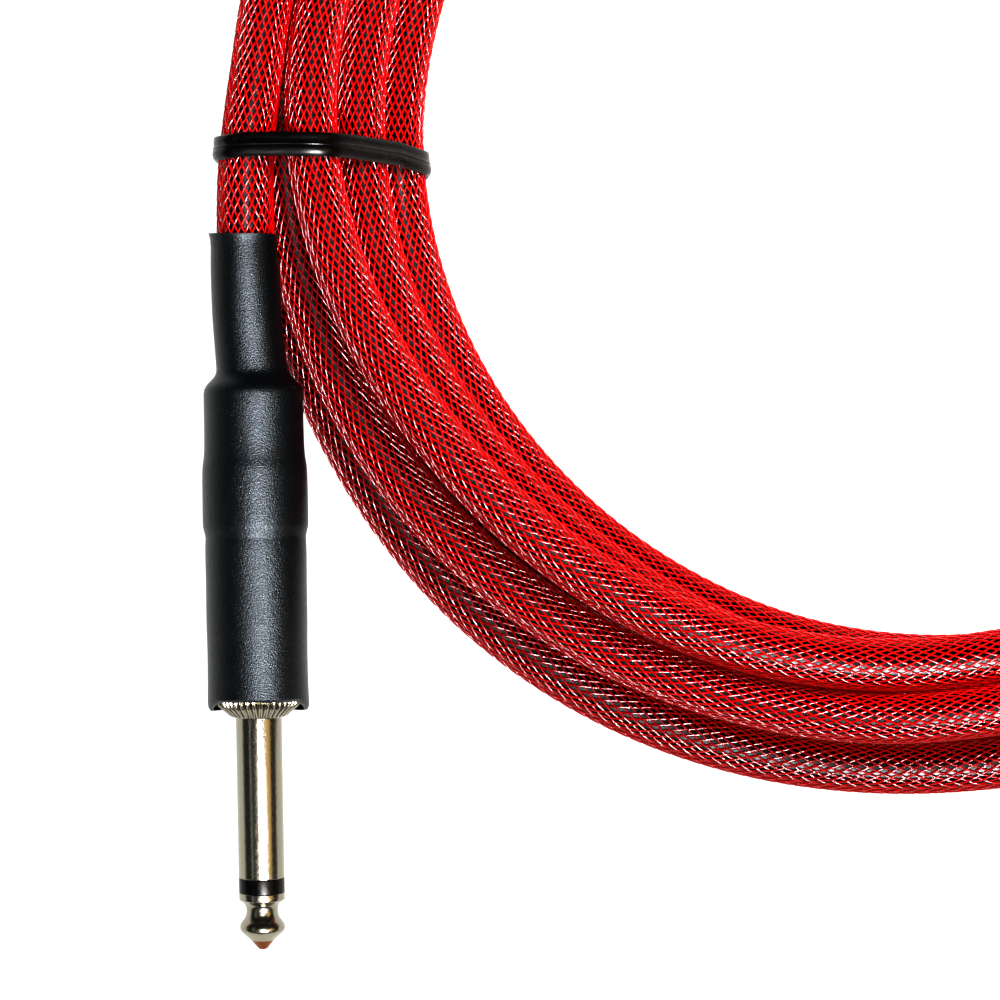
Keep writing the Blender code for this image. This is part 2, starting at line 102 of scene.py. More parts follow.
# The braided sleeve on the cord
CARRIERS = 24  # each way round
BRAID_PITCH = 1.03  # along the cord, between two crossings
BRAID_R = 3.4
BRAID_RIPPLE = 0.12  # how far a carrier rises over and sinks under the ones that it crosses
CARRIER_WIDTH = 0.27
CARRIER_THICKNESS = 0.2
BRAID_PIECES = 12
SWELL_AT_PLUG = 0.35  # the braid stands this much further out where it leaves a plug
SWELL_LENGTH = 14.0
BRAID_IN_PLUG = 14.0  # how far the braid goes on inside a plug

# The jacket under the braid
JACKET_R = 3.15
JACKET_SIDES = 24
JACKET_SWELL_SHARE = 0.8  # how much of the braid's swell the jacket has

# The tie
TIE_WIDTH = 3.3
TIE_THICKNESS = 0.9
TIE_DEG = -2.6  # where it passes under the coil
TIE_LIFT = 1.1  # how far it lifts the lowest strands
TIE_LIFT_DEG = 4.5  # and how far to either side of it
TIE_SLACK = 0.15
TIE_FLOOR_GAP = 0.08
TIE_STEPS = 160
TIE_SMOOTHING = 12
TIE_TOUCH_STEP_DEG = 4.0  # between the directions in which its loop touches a strand
TIE_CHANGE = 0.75  # the sine of how far down it faces where its upper run has become the lower one
# Where its middle runs over the coil, as (radius, Y from the coil's centre), and its Y under it
TIE_UPPER_RUN = [(68.0, -3.5), (71.8, -2.33), (78.6, -1.54), (87.0, -1.33), (93.0, -1.38),
                 (97.0, -1.95)]
TIE_LOWER_Y = -4.3

# Plug stations and radii, as in the CAD model
S_TIP_REST = 3.4  # where plug A's tip touches the floor
S_TIP_END = 8.0
S_SHAFT = 10.07
S_LIP = 33.3
S_FLANGE = 34.4
S_BARREL = 36.2
S_HUB_END = 41.3
S_OVERLAP = 57.5
S_FRONT_SLEEVE_END = 67.5
S_SHOULDER = 77.2
S_REAR = 99.0
CONTACT_R = 3.175
ROD_BORE_R = 1.3  # through the tip contact and the insulating ring
SHAFT_BORE_R = 2.2
COLLAR_BORE_R = 3.4  # in front, round the shaft
HUB_R = 5.5
FRONT_SLEEVE_R = 6.95
NECK_BEND = 0.6  # how far the cord's path leans to the side inside a plug

# What the visual model adds to the plugs
TIP_SIDES = 96
PLUG_SIDES = 128
# The tip's end facet is painted brown in its colour, standing in for a brown reflection there; this
# length and the edge below set where the painted reflection ends.
PAINTED_REFLECTION_LENGTH = 1.35  # of the tip, from its end
PAINTED_REFLECTION_EDGE = 0.1
RIBS = 40
RIB_SIDES = 8  # of the collar, for each rib
RIB_DEPTH = 0.55
RIB_INNER_R = CONTACT_R + 0.35  # the ribs start this far out
S_RIBS = 32.5  # where the collar's cone begins
SLEEVE_STEP = 0.35
SLEEVE_EDGE = 0.04  # how far a sleeve's cut edge bulges
FRONT_SLEEVE_WALL = 0.42
FRONT_UNEVEN, FRONT_WAVE = 0.035, 7.0  # how far out of round it is, and over what length
REAR_SLEEVE_WALL = 0.36
REAR_UNEVEN, REAR_WAVE = 0.04, 8.0
LIP_LENGTH = 1.1  # of the front sleeve, that curls in over the collar
LIP_RISE = 1.25  # the lip stands back by this much on the upper side
LIP_UNEVEN = 0.1  # in and out
LIP_RAGGED = 0.16  # along the plug
MOUTH_LENGTH = 1.2  # of the rear sleeve, where it lets go of the cord
MOUTH_GAP = 0.1  # how much further out its mouth stands on one side
MOUTH_SLANT = 0.12
MOUTH_RAGGED = 0.07
S_NECK_SHIFT = 79.5  # where the rear sleeve begins to lean to the side
NECK_SHIFT = 1.0  # how far the rear sleeve's end lies to the side
NECK_SHIFT_LENGTH = 9.5

# Where the plugs lie: the tip from the coil's centre, the heading from tip to cord, and the slope
PLUGS = {
    "a": ((-90.64, -111.60, 2.84), math.radians(90.84),
          math.atan((FRONT_SLEEVE_R - CONTACT_R) / (S_FLANGE - S_TIP_REST))),
    "b": ((61.87, -17.33, 7.27), math.radians(135.0), 0.0),
}

# Colours of what has two materials or more
NICKEL = (0.25, 0.24, 0.19)
# Brown painted on the tip's end facet, standing in for a brown reflection there
PAINTED_REFLECTION_BROWN = (0.16, 0.06, 0.02)

NOISE_LOW, NOISE_HIGH = 0.3, 0.7  # what a noise texture's value mostly stays between

# The studio
CAMERA_PLACE_M = (-0.0552, -0.0405, 1.2)
SEEN_WIDTH_M = 0.1381
SENSOR_WIDTH = 36.0
FLOOR_GLOW = 0.78
FLOOR_SIZE_M = 60
FLOOR_DROP_M = 0.00005  # keeps the floor just under what lies on it
LIGHT_DISTANCE_M = 2.0
SKY_STOPS = [(0.0, 0.12), (0.12, 0.08), (0.3, 0.05), (1.0, 0.03)]  # (sine of height, brightness)


# ---------------------------------------------------------------- routes


def smooth_route(points, step):
    """Points about a step apart on a smooth curve through the given points."""
    points = np.asarray(points, float)
    padded = np.vstack([2 * points[0] - points[1], points, 2 * points[-1] - points[-2]])
    route = []
    for a, b, c, d in zip(padded, padded[1:], padded[2:], padded[3:]):
        count = max(1, round(float(np.linalg.norm(c - b)) / step))
        t = (np.arange(count) / count)[:, None]
        route.append(
            0.5 * (2 * b + (c - a) * t + (2 * a - 5 * b + 4 * c - d) * t**2
                   + (3 * b - a - 3 * c + d) * t**3)
        )
    return np.vstack([*route, points[-1:]])


def even_steps(line, step):
    """The same line with points a step apart, and the last step shortened or stretched to fit."""
    along = np.concatenate([[0.0], np.cumsum(np.linalg.norm(np.diff(line, axis=0), axis=1))])
    at = np.linspace(0, along[-1], round(along[-1] / step) + 1)
    return np.column_stack([np.interp(at, along, line[:, k]) for k in range(3)])


def to_section(point):
    """(degrees past the tie, radius, height) of a point given from the coil's centre."""
    x, y, z = point
    return math.degrees(math.atan2(y, -x)), math.hypot(x, y), z


def from_section(degrees, radius, height):
    """Points from the coil's centre, for the same three values."""
    angle = np.radians(degrees)
    return np.column_stack([-radius * np.cos(angle), radius * np.sin(angle), height])


def coil_plan():
    """The cord's planned route through the coil, from one lead to the other: angles past the tie,
    which grow by 360 a turn, and (radius, height) at each."""
    stations = [to_section(point) for point in LEAD_A_ROUTE]
    for turn, row in enumerate(PASSES):
        stations += [(360 * turn + angle, radius, height) for angle, radius, height in row]
    last = to_section(LEAD_B_ROUTE[-1])
    stations.append((360 * (len(PASSES) - 1) + last[0], *last[1:]))
    angle, radius, height = np.array(stations).T
    at = np.arange(math.ceil(angle[0] / DEG_STEP) * DEG_STEP, angle[-1], DEG_STEP)
    return at, np.column_stack([np.interp(at, angle, radius), np.interp(at, angle, height)])


def push_apart(place, turns):
    """Moves strands that are that many turns apart away from each other where they touch."""
    inner, outer = place[: -turns * STEPS_PER_TURN], place[turns * STEPS_PER_TURN :]
    between = outer - inner
    far = np.linalg.norm(between, axis=1, keepdims=True)
    push = between / far * np.clip(STRAND_PITCH - far, 0, None) / 2
    inner -= push
    outer += push


def settled_coil():
    """The cord's route through the coil: angles past the tie, and (radius, height) at each, with
    the strands pushed a diameter apart in each section and none below the floor or the tie."""
    at, target = coil_plan()
    fixed = at <= to_section(LEAD_A_ROUTE[-1])[0]
    from_tie = (at - TIE_DEG + 180) % 360 - 180
    floor = CORD_R + TIE_LIFT * np.exp(-((from_tie / TIE_LIFT_DEG) ** 2))
    place = target.copy()
    for _ in range(SETTLING_STEPS):
        place += PULL_TO_PLAN * (target - place)
        place[1:-1] += EASING * (place[2:] + place[:-2] - 2 * place[1:-1])
        for turns in range(1, len(PASSES)):
            push_apart(place, turns)
        place[:, 1] = np.maximum(place[:, 1], floor)
        place[fixed] = target[fixed]
    return at, place


def neck_offset(s):
    """How far the cord's path inside the plug lies to the side of the axis."""
    past = np.clip(s - S_SHOULDER, 0, None) / (S_REAR - S_SHOULDER)
    return NECK_BEND * past**2


def plug_axes(letter):
    """The plug's tip and its side, up and back directions, from the coil's centre."""
    tip, heading, slope = PLUGS[letter]
    back = np.array((math.cos(heading) * math.cos(slope), math.sin(heading) * math.cos(slope),
                     math.sin(slope)))
    side = np.cross((0, 0, 1), back)
    side /= np.linalg.norm(side)
    return np.array(tip), side, np.cross(back, side), back


def plug_matrix(letter):
    """From a plug's own frame to the world, in metres."""
    tip, side, up, back = plug_axes(letter)
    turn = Matrix((side, up, back)).transposed().to_4x4()
    return Matrix.Translation(Vector((COIL_CENTRE + tip) * MM)) @ turn


def route_in_plug(letter, length):
    """The cord's path inside a plug, from that far in to the sleeve's rear edge."""
    tip, side, _, back = plug_axes(letter)
    s = np.arange(S_REAR - length, S_REAR, ROUTE_STEP)[:, None]
    return tip + back * s + side * neck_offset(s)


def cord_route():
    """The cord's centreline from plug A's rear edge to plug B's, how it goes on inside each plug,
    and the settled coil."""
    at, place = settled_coil()
    coil = from_section(at, place[:, 0], place[:, 1])
    lead_end = to_section(LEAD_A_ROUTE[-1])[0]
    inner = coil[(at > lead_end + DEG_STEP / 2) & (at < at[-1] - DEG_STEP / 2)]
    lead_a = smooth_route(LEAD_A_ROUTE, LEAD_STEP)
    lead_b = smooth_route(LEAD_B_ROUTE, LEAD_STEP)[::-1]
    knots = np.vstack([lead_a, inner, lead_b])
    free = even_steps(smooth_route(knots, FINE_STEP), ROUTE_STEP)
    in_a = route_in_plug("a", BRAID_IN_PLUG)
    in_b = route_in_plug("b", BRAID_IN_PLUG)[::-1]
    return free + COIL_CENTRE, in_a + COIL_CENTRE, in_b + COIL_CENTRE, (at, place)


# ---------------------------------------------------------------- meshes


def mesh_object(name, points, faces, material):
    """A mesh object from points in millimetres and faces that all have the same corner count, or a
    list of arrays of faces."""
    groups = faces if isinstance(faces, list) else [faces]
    counts = np.concatenate([np.full(len(group), group.shape[1]) for group in groups])
    corners = np.concatenate([group.ravel() for group in groups]).astype(np.int32)
    mesh = bpy.data.meshes.new(name)
    mesh.vertices.add(len(points))
    mesh.vertices.foreach_set("co", (np.asarray(points) * MM).astype(np.float32).ravel())
    mesh.loops.add(len(corners))
    mesh.loops.foreach_set("vertex_index", corners)
    mesh.polygons.add(len(counts))
    starts = np.concatenate([[0], np.cumsum(counts)[:-1]]).astype(np.int32)
    mesh.polygons.foreach_set("loop_start", starts)
    mesh.update(calc_edges=True)
    mesh.polygons.foreach_set("use_smooth", np.full(len(counts), True))
    mesh.materials.append(material)
    thing = bpy.data.objects.new(name, mesh)
    bpy.context.scene.collection.objects.link(thing)
    return thing


def grid_faces(rows, columns, closed_rows=False):
    """Quads over a grid of points, row by row, whose columns go round."""
    row, column = np.meshgrid(
        np.arange(rows if closed_rows else rows - 1), np.arange(columns), indexing="ij"
    )
    after, beside = (row + 1) % rows, (column + 1) % columns
    corners = [row * columns + column, after * columns + column,
               after * columns + beside, row * columns + beside]
    return np.stack([c.ravel() for c in corners], axis=1)


def line_frames(line):
    """Along, side and up directions at each point of a line that runs mostly level."""
    along = np.gradient(line, axis=0)
    along /= np.linalg.norm(along, axis=1, keepdims=True)
    side = np.cross(along, (0.0, 0.0, 1.0))
    side /= np.linalg.norm(side, axis=1, keepdims=True)
    return along, side, np.cross(side, along)


def tube_points(line, radii, sides):
    """Rings of points round a line, one ring after another."""
    _, side, up = line_frames(line)
    angle = TAU * np.arange(sides) / sides
    outward = (side[:, None] * np.cos(angle)[None, :, None]
               + up[:, None] * np.sin(angle)[None, :, None])
    return line[:, None] + outward * np.asarray(radii)[:, None, None]


def end_fans(rings, sides):
    """Triangles from the first and the last ring to the two poles that follow the rings' points."""
    ring = np.arange(sides)
    after = (ring + 1) % sides
    last_ring = (rings - 1) * sides
    pole = rings * sides
    return np.vstack([
        np.column_stack([np.full(sides, pole), ring, after]),
        np.column_stack([np.full(sides, pole + 1), last_ring + after, last_ring + ring]),
    ])


def closed_tube(name, line, radii, sides, material):
    """A tube along a line, with closed ends."""
    rings = tube_points(line, radii, sides)
    points = np.vstack([rings.reshape(-1, 3), line[:1], line[-1:]])
    faces = [grid_faces(len(line), sides), end_fans(len(line), sides)]
    return mesh_object(name, points, faces, material)


def swell(distance_to_plug):
    """How much further out the braid stands near a plug, where it is fed over the jacket."""
    return SWELL_AT_PLUG * np.exp(-((np.clip(distance_to_plug, 0, None) / SWELL_LENGTH) ** 2))


def carrier_section():
    """A carrier's section: (across, outward) points of a flat oval."""
    half, thick = CARRIER_WIDTH / 2, CARRIER_THICKNESS / 2
    return np.array([
        (-half, 0.0), (-half * 0.5, thick), (half * 0.5, thick), (half, 0.0), (0.0, -thick),
    ])


def braid_points(line, radii):
    """Section points of every carrier at every step of a line: (way, carrier, step, point, xyz)."""
    _, side, up = line_frames(line)
    step = np.arange(len(line))
    way = np.array((1, -1))[:, None, None]
    carrier = np.arange(CARRIERS)[None, :, None]
    column = 2 * carrier + way * step[None, None, :]
    angle = TAU * column / (2 * CARRIERS)
    over = np.where(column % 4 < 2, 1.0, -1.0) * way
    radius = radii[None, None, :] + BRAID_RIPPLE * over
    outward = (side * np.cos(angle)[..., None] + up * np.sin(angle)[..., None])
    centre = line + outward * radius[..., None]
    along = np.gradient(centre, axis=2)
    across = np.cross(along, outward)
    across /= np.linalg.norm(across, axis=-1, keepdims=True)
    section = carrier_section()
    return (centre[..., None, :] + across[..., None, :] * section[:, :1]
            + outward[..., None, :] * section[:, 1:])


def braid_piece(name, points, material):
    """One length of the braid as a mesh: every carrier is a closed strip with capped ends."""
    ways, carriers, steps, corners, _ = points.shape
    strip = grid_faces(steps, corners)
    last = (steps - 1) * corners
    caps = np.array([np.arange(corners)[::-1], last + np.arange(corners)])
    shift = (np.arange(ways * carriers) * steps * corners)[:, None, None]
    return mesh_object(
        name,
        points.reshape(-1, 3),
        [(strip + shift).reshape(-1, 4)[:, ::-1], (caps + shift).reshape(-1, corners)[:, ::-1]],
        material,
    )


def make_jacket(free, material):
    """The cord's jacket, from plug to plug."""
    along = np.arange(len(free)) * ROUTE_STEP
    radii = JACKET_R + JACKET_SWELL_SHARE * (swell(along) + swell(along[-1] - along))
    return closed_tube("cord", free, radii, JACKET_SIDES, material)


def make_braid(free, in_a, in_b, material):
    """The braided sleeve, from inside plug A to inside plug B, in pieces of equal length."""
    whole = np.vstack([in_a, free, in_b])
    line = even_steps(whole, BRAID_PITCH)
    along = np.arange(len(line)) * BRAID_PITCH
    start, end = along - len(in_a) * ROUTE_STEP, along[-1] - along - len(in_b) * ROUTE_STEP
    radii = BRAID_R + swell(start) + swell(end)
    points = braid_points(line, radii)
    cuts = np.linspace(0, len(line) - 1, BRAID_PIECES + 1).round().astype(int)
    return [
        braid_piece(f"braid_{i + 1:02d}", points[:, :, cuts[i] : cuts[i + 1] + 1], material)
        for i in range(BRAID_PIECES)
    ]


def rounded(corners, steps=5):
    """An outline of (s, radius, rounding) corners with each corner rounded over that length."""
    outline = []
    count = len(corners)
    for i, (s, radius, *rest) in enumerate(corners):
        here = np.array((s, radius), float)
        size = rest[0] if rest else 0.0
        if size == 0 or (i in (0, count - 1) and corners[0][1] == 0):
            outline.append(here)
            continue
        before = np.array(corners[i - 1][:2], float) - here
        after = np.array(corners[(i + 1) % count][:2], float) - here
        start = here + before * min(size / np.linalg.norm(before), 0.5)
        end = here + after * min(size / np.linalg.norm(after), 0.5)
        for t in np.linspace(0, 1, steps):
            outline.append((1 - t) ** 2 * start + 2 * t * (1 - t) * here + t**2 * end)
    return np.array(outline)


def lathe(name, outline, sides, material, letter, warp=None, sharp=40):
    """A piece turned about a plug's axis. The outline runs along the outside and back along the
    bore, or from axis to axis. warp(s, radius, angle) may change where each point goes, and
    returns x, y and s."""
    outline = np.asarray(outline, float)
    angle = TAU * np.arange(sides) / sides
    s, radius, angle = (a.astype(float) for a in np.broadcast_arrays(
        outline[:, :1], outline[:, 1:2], angle[None, :]))
    if warp:
        x, y, s = warp(s, radius, angle)
    else:
        x, y = radius * np.cos(angle), radius * np.sin(angle)
    points = np.stack([x, y, s], axis=-1)
    if outline[0][1] > 0:
        thing = mesh_object(
            name, points.reshape(-1, 3), grid_faces(len(outline), sides, True)[:, ::-1], material
        )
    else:
        inner = points[1:-1]
        poles = np.array([points[0].mean(axis=0), points[-1].mean(axis=0)])
        faces = [grid_faces(len(inner), sides)[:, ::-1], end_fans(len(inner), sides)[:, ::-1]]
        thing = mesh_object(name, np.vstack([inner.reshape(-1, 3), poles]), faces, material)
    thing.data.set_sharp_from_angle(angle=math.radians(sharp))
    thing.matrix_world = plug_matrix(letter)
    return thing


def wavy(angle, s, seed, scale=1.0):
    """A smooth uneven value about 0 over a turned surface, the same each time. It is a sum of
    waves, and its numbers only keep them out of step."""
    total = np.zeros_like(angle)
    for k in range(1, 6):
        turn = 1.7 * k + seed * 2.4
        total += np.sin(k * angle + turn + s / scale * (0.5 + 0.21 * k)) / (k + 1)
        total += 0.6 * np.sin((6 - k) * angle - 2.1 * turn - s / scale * (0.9 + 0.13 * k)) / (k + 1)
    return total


# ---------------------------------------------------------------- materials


def new_material(name, colour, roughness, metallic=0.0, specular=0.5):
    material = bpy.data.materials.new(name)
    material.use_nodes = True
    shader = material.node_tree.nodes["Principled BSDF"]
    shader.inputs["Base Color"].default_value = (*colour, 1.0)
    shader.inputs["Roughness"].default_value = roughness
    shader.inputs["Metallic"].default_value = metallic
    shader.inputs["Specular IOR Level"].default_value = specular
    return material


def add_noise(material, scale, detail=3.0, stretch=(1, 1, 1)):
    """A noise texture in the piece's own metres. Scale is features to the millimetre."""
    nodes, links = material.node_tree.nodes, material.node_tree.links
    place = nodes.new("ShaderNodeTexCoord")
    mapping = nodes.new("ShaderNodeMapping")
    mapping.inputs["Scale"].default_value = stretch
    texture = nodes.new("ShaderNodeTexNoise")
    texture.inputs["Scale"].default_value = scale / MM
    texture.inputs["Detail"].default_value = detail
    links.new(place.outputs["Object"], mapping.inputs["Vector"])
    links.new(mapping.outputs["Vector"], texture.inputs["Vector"])
    return texture.outputs["Fac"]


def drive(material, value, name, low, high):
    """Lets a noise texture's value set one of the shader's numbers between low and high."""
    nodes, links = material.node_tree.nodes, material.node_tree.links
    reach = nodes.new("ShaderNodeMapRange")
    reach.inputs["From Min"].default_value = NOISE_LOW
    reach.inputs["From Max"].default_value = NOISE_HIGH
    reach.inputs["To Min"].default_value = low
    reach.inputs["To Max"].default_value = high
    links.new(value, reach.inputs["Value"])
    links.new(reach.outputs["Result"], nodes["Principled BSDF"].inputs[name])


def drive_colour(material, value, colour_a, colour_b):
    """Lets a value from 0 to 1 set the colour, from the first to the second."""
    nodes, links = material.node_tree.nodes, material.node_tree.links
    ramp = nodes.new("ShaderNodeValToRGB")
    ramp.color_ramp.elements[0].color = (*colour_a, 1)
    ramp.color_ramp.elements[1].color = (*colour_b, 1)
    links.new(value, ramp.inputs["Fac"])
    links.new(ramp.outputs["Color"], nodes["Principled BSDF"].inputs["Base Color"])


def add_bump(material, value, height):
    """Bumps of that height, in millimetres."""
    nodes, links = material.node_tree.nodes, material.node_tree.links
    bump = nodes.new("ShaderNodeBump")
    bump.inputs["Distance"].default_value = height * MM
    bump.inputs["Strength"].default_value = 1.0
    links.new(value, bump.inputs["Height"])
    links.new(bump.outputs["Normal"], nodes["Principled BSDF"].inputs["Normal"])


def braid_material():
    """Glossy red monofilament."""
    material = new_material("red monofilament", (0.66, 0.0, 0.002), 0.12)
    drive(material, add_noise(material, 0.9), "Roughness", 0.09, 0.15)
    return material


def jacket_material():
    """Smooth black plastic that is dull between the carriers."""
    material = new_material("black jacket", (0.004, 0.002, 0.003), 0.28, specular=0.17)
    drive(material, add_noise(material, 0.8), "Roughness", 0.24, 0.32)
    add_bump(material, add_noise(material, 2.5), 0.02)
    return material


def heat_shrink_material():
    """Black sleeving with a fine leathery grain and a cold sheen."""
    material = new_material("heat shrink", (0.002, 0.003, 0.004), 0.3, specular=0.27)
    shader = material.node_tree.nodes["Principled BSDF"]
    shader.inputs["Specular Tint"].default_value = (0.78, 0.93, 1.0, 1.0)
    drive(material, add_noise(material, 3.8), "Roughness", 0.32, 0.4)
    add_bump(material, add_noise(material, 5.5, 1.5), 0.085)
    return material


def nickel_material():
    """Dark, slightly yellow nickel plate with a fine grain."""
    material = new_material("nickel plate", NICKEL, 0.2, 1.0)
    grain = add_noise(material, 3.6, 2.5)
    drive(material, grain, "Roughness", 0.16, 0.27)
    add_bump(material, grain, 0.016)
    return material


def nickel_with_painted_reflection_material():
    """Nickel with a brown reflection painted in its colour on the tip's end facet, over that length
    from the end.
    """
    material = nickel_material()
    material.name = "nickel with painted reflection"
    nodes, links = material.node_tree.nodes, material.node_tree.links
    place = nodes.new("ShaderNodeTexCoord")
    split = nodes.new("ShaderNodeSeparateXYZ")
    links.new(place.outputs["Object"], split.inputs["Vector"])
    reach = nodes.new("ShaderNodeMapRange")
    reach.inputs["From Min"].default_value = (PAINTED_REFLECTION_LENGTH - PAINTED_REFLECTION_EDGE) * MM
    reach.inputs["From Max"].default_value = (PAINTED_REFLECTION_LENGTH + PAINTED_REFLECTION_EDGE) * MM
    links.new(split.outputs["Z"], reach.inputs["Value"])
    # Paints the brown reflection on the tip's end facet, with plain nickel behind it.
    drive_colour(material, reach.outputs["Result"], PAINTED_REFLECTION_BROWN, NICKEL)
    return material


def tie_material():
    """Black plastic, drawn out along the band."""
    material = new_material("tie plastic", (0.002, 0.002, 0.002), 0.28, specular=0.3)
    drive(material, add_noise(material, 0.8, stretch=(0.3, 1.5, 1)), "Roughness", 0.22, 0.34)
    add_bump(material, add_noise(material, 1.2, stretch=(0.2, 2, 1)), 0.03)
    return material


def simple_material(name, colour, roughness, metallic=0.0, grain=2.0, height=0.01, specular=0.5):
    """A plain finish with a little unevenness. Grain is features to the millimetre."""
    material = new_material(name, colour, roughness, metallic, specular)
    texture = add_noise(material, grain)
    drive(material, texture, "Roughness", roughness * 0.8, min(1.0, roughness * 1.3))
    add_bump(material, texture, height)
    return material


# ---------------------------------------------------------------- the plugs' visible pieces


def tip_contact(name, letter, material):
    """The cone, the bulb and the waist behind it."""
    outline = rounded([
        (0.0, 0.0), (0.06, 0.55, 0.3), (1.45, 1.72, 0.25), (2.55, 2.95, 0.5),
        (3.0, CONTACT_R, 0.45), (3.7, 3.05, 0.5), (4.55, 2.3, 0.7), (5.5, 2.14, 0.5),
        (6.35, 2.32, 0.5), (6.9, 2.95, 0.3), (7.02, CONTACT_R, 0.12),
        (S_TIP_END - 0.05, CONTACT_R, 0.06), (S_TIP_END, CONTACT_R - 0.06),
        (S_TIP_END, ROD_BORE_R), (4.6, ROD_BORE_R), (4.6, 0.0),
    ])
    return lathe(name, outline, TIP_SIDES, material, letter, sharp=30)


def tip_insulator(name, letter, material):
    """The ring between the tip contact and the shaft."""
    outline = rounded([
        (S_TIP_END + 0.02, CONTACT_R - 0.02, 0.1), (S_SHAFT - 0.02, CONTACT_R - 0.02, 0.1),
        (S_SHAFT - 0.02, ROD_BORE_R), (S_TIP_END + 0.02, ROD_BORE_R),
    ])
    return lathe(name, outline, TIP_SIDES, material, letter)


def sleeve_contact(name, letter, material):
    """The long shaft."""
    outline = rounded([
        (S_SHAFT, CONTACT_R, 0.15), (S_BARREL, CONTACT_R, 0.1), (S_BARREL, SHAFT_BORE_R),
        (S_SHAFT, SHAFT_BORE_R),
    ])
    return lathe(name, outline, PLUG_SIDES, material, letter)


def serrated_collar(name, letter, material):
    """The nickel cone behind the shaft, with ribs that run out to its flange."""

    def ribbed(s, radius, angle):
        share = np.clip((s - S_RIBS - 0.12) / 0.5, 0, 1)
        share = share * (radius > RIB_INNER_R) * (s < S_BARREL)
        groove = np.abs(np.sin(angle * RIBS / 2)) ** 0.8 - 1
        radius = radius + RIB_DEPTH * share * groove
        return radius * np.cos(angle), radius * np.sin(angle), s

    outline = rounded([
        (S_RIBS, COLLAR_BORE_R), (S_RIBS, 3.7, 0.1), (S_RIBS + 0.2, 4.1, 0.1),
        (S_RIBS + 1.6, 5.7, 0.3), (S_RIBS + 2.4, 6.05, 0.3), (S_BARREL - 0.3, 6.15, 0.1),
        (S_BARREL - 0.3, HUB_R), (S_HUB_END, HUB_R), (S_HUB_END, SHAFT_BORE_R),
        (S_BARREL + 0.3, SHAFT_BORE_R), (S_BARREL + 0.3, COLLAR_BORE_R),
    ], 4)
    return lathe(name, outline, RIBS * RIB_SIDES, material, letter, ribbed, 25)


def sleeve_shape(stations, wall):
    """An outline for a shrunk sleeve: a smooth outside through the stations, and a bore."""
    line = smooth_route([(s, radius, 0) for s, radius in stations], SLEEVE_STEP)[:, :2]
    inner = line[::-1].copy()
    inner[:, 1] -= wall
    (front_s, front_r), (rear_s, rear_r) = line[0], line[-1]
    rear = [(rear_s + SLEEVE_EDGE, rear_r - wall * share) for share in (0.25, 0.75)]
    front = [(front_s - SLEEVE_EDGE, front_r - wall * share) for share in (0.75, 0.25)]
    return np.vstack([line, rear, inner, front])


def shear(letter):
    """How much further back a sleeve's edges lie on its upper side, for each millimetre up. The
    sleeves were cut and shrunk square to the floor, not to the sloping plug."""
    return math.tan(PLUGS[letter][2])


def front_sleeve(name, letter, material):
    """The heat-shrink sleeve round the barrel's front, whose lip curls in over the collar."""
    stations = [
        (S_LIP, 6.6), (S_LIP + 0.35, 6.85), (S_LIP + 1.2, 6.97), (37, 6.93), (41, 6.9),
        (46, 6.96), (51, 6.93), (55, 6.95), (56.8, 6.9), (57.6, 6.82), (59, 6.78), (63, 6.77),
        (S_FRONT_SLEEVE_END, 6.76),
    ]

    def uneven(s, radius, angle):
        near_lip = np.exp(-((s - S_LIP) / LIP_LENGTH) ** 2)
        radius = radius + FRONT_UNEVEN * wavy(angle, s, 1.0, FRONT_WAVE) * (s < S_OVERLAP)
        radius = radius + near_lip * LIP_UNEVEN * wavy(angle, 0 * s, 2.0)
        x, y = radius * np.cos(angle), radius * np.sin(angle)
        rise = LIP_RISE * np.clip(1.7 * np.sin(angle), 0, 1)
        ragged = LIP_RAGGED * wavy(angle, 0 * s, 3.0) + rise
        return x, y, s + near_lip * ragged + shear(letter) * y

    outline = sleeve_shape(stations, FRONT_SLEEVE_WALL)
    return lathe(name, outline, PLUG_SIDES, material, letter, uneven)


def neck_shift(s):
    """How far the rear sleeve's centre lies to the side of the plug's axis."""
    return NECK_SHIFT * (1 - np.exp(-np.clip(s - S_NECK_SHIFT, 0, None) / NECK_SHIFT_LENGTH))


def rear_sleeve(name, letter, material):
    """The heat-shrink sleeve from the front one's rear half to the cord."""
    stations = [
        (57.1, 6.87), (57.5, 6.91), (58.0, 7.02), (58.6, 7.16), (59.3, 7.22), (61.5, 7.22),
        (64.5, 7.2), (66.8, 7.14), (68.2, 6.95), (69.8, 6.84), (73, 6.8), (76.4, 6.8),
        (77.5, 6.72), (78.3, 6.3), (79.2, 5.45), (80.0, 4.97), (81.2, 4.84), (84, 4.8),
        (88, 4.8), (94, 4.7), (97.4, 4.56), (98.5, 4.6), (S_REAR - 0.1, 4.72),
    ]

    def uneven(s, radius, angle):
        radius = radius + REAR_UNEVEN * wavy(angle, s, 4.0, REAR_WAVE)
        near_mouth = np.exp(-((s - S_REAR) / MOUTH_LENGTH) ** 2)
        radius = radius + near_mouth * MOUTH_GAP * np.clip(np.cos(angle - 0.3), 0, None) ** 3
        x, y = radius * np.cos(angle) + neck_shift(s), radius * np.sin(angle)
        ragged = MOUTH_SLANT * np.cos(angle) + MOUTH_RAGGED * wavy(angle, 0 * s, 5.0)
        return x, y, s + near_mouth * ragged + shear(letter) * y

    outline = sleeve_shape(stations, REAR_SLEEVE_WALL)
    return lathe(name, outline, PLUG_SIDES, material, letter, uneven)


# ---------------------------------------------------------------- the tie


def closed_steps(loop, count):
    """The same closed line with that many points, evenly apart."""
    ends = np.vstack([loop, loop[:1]])
    along = np.concatenate([[0.0], np.cumsum(np.linalg.norm(np.diff(ends, axis=0), axis=1))])
    at = along[-1] * np.arange(count) / count
    return np.column_stack([np.interp(at, along, ends[:, k]) for k in range(2)])


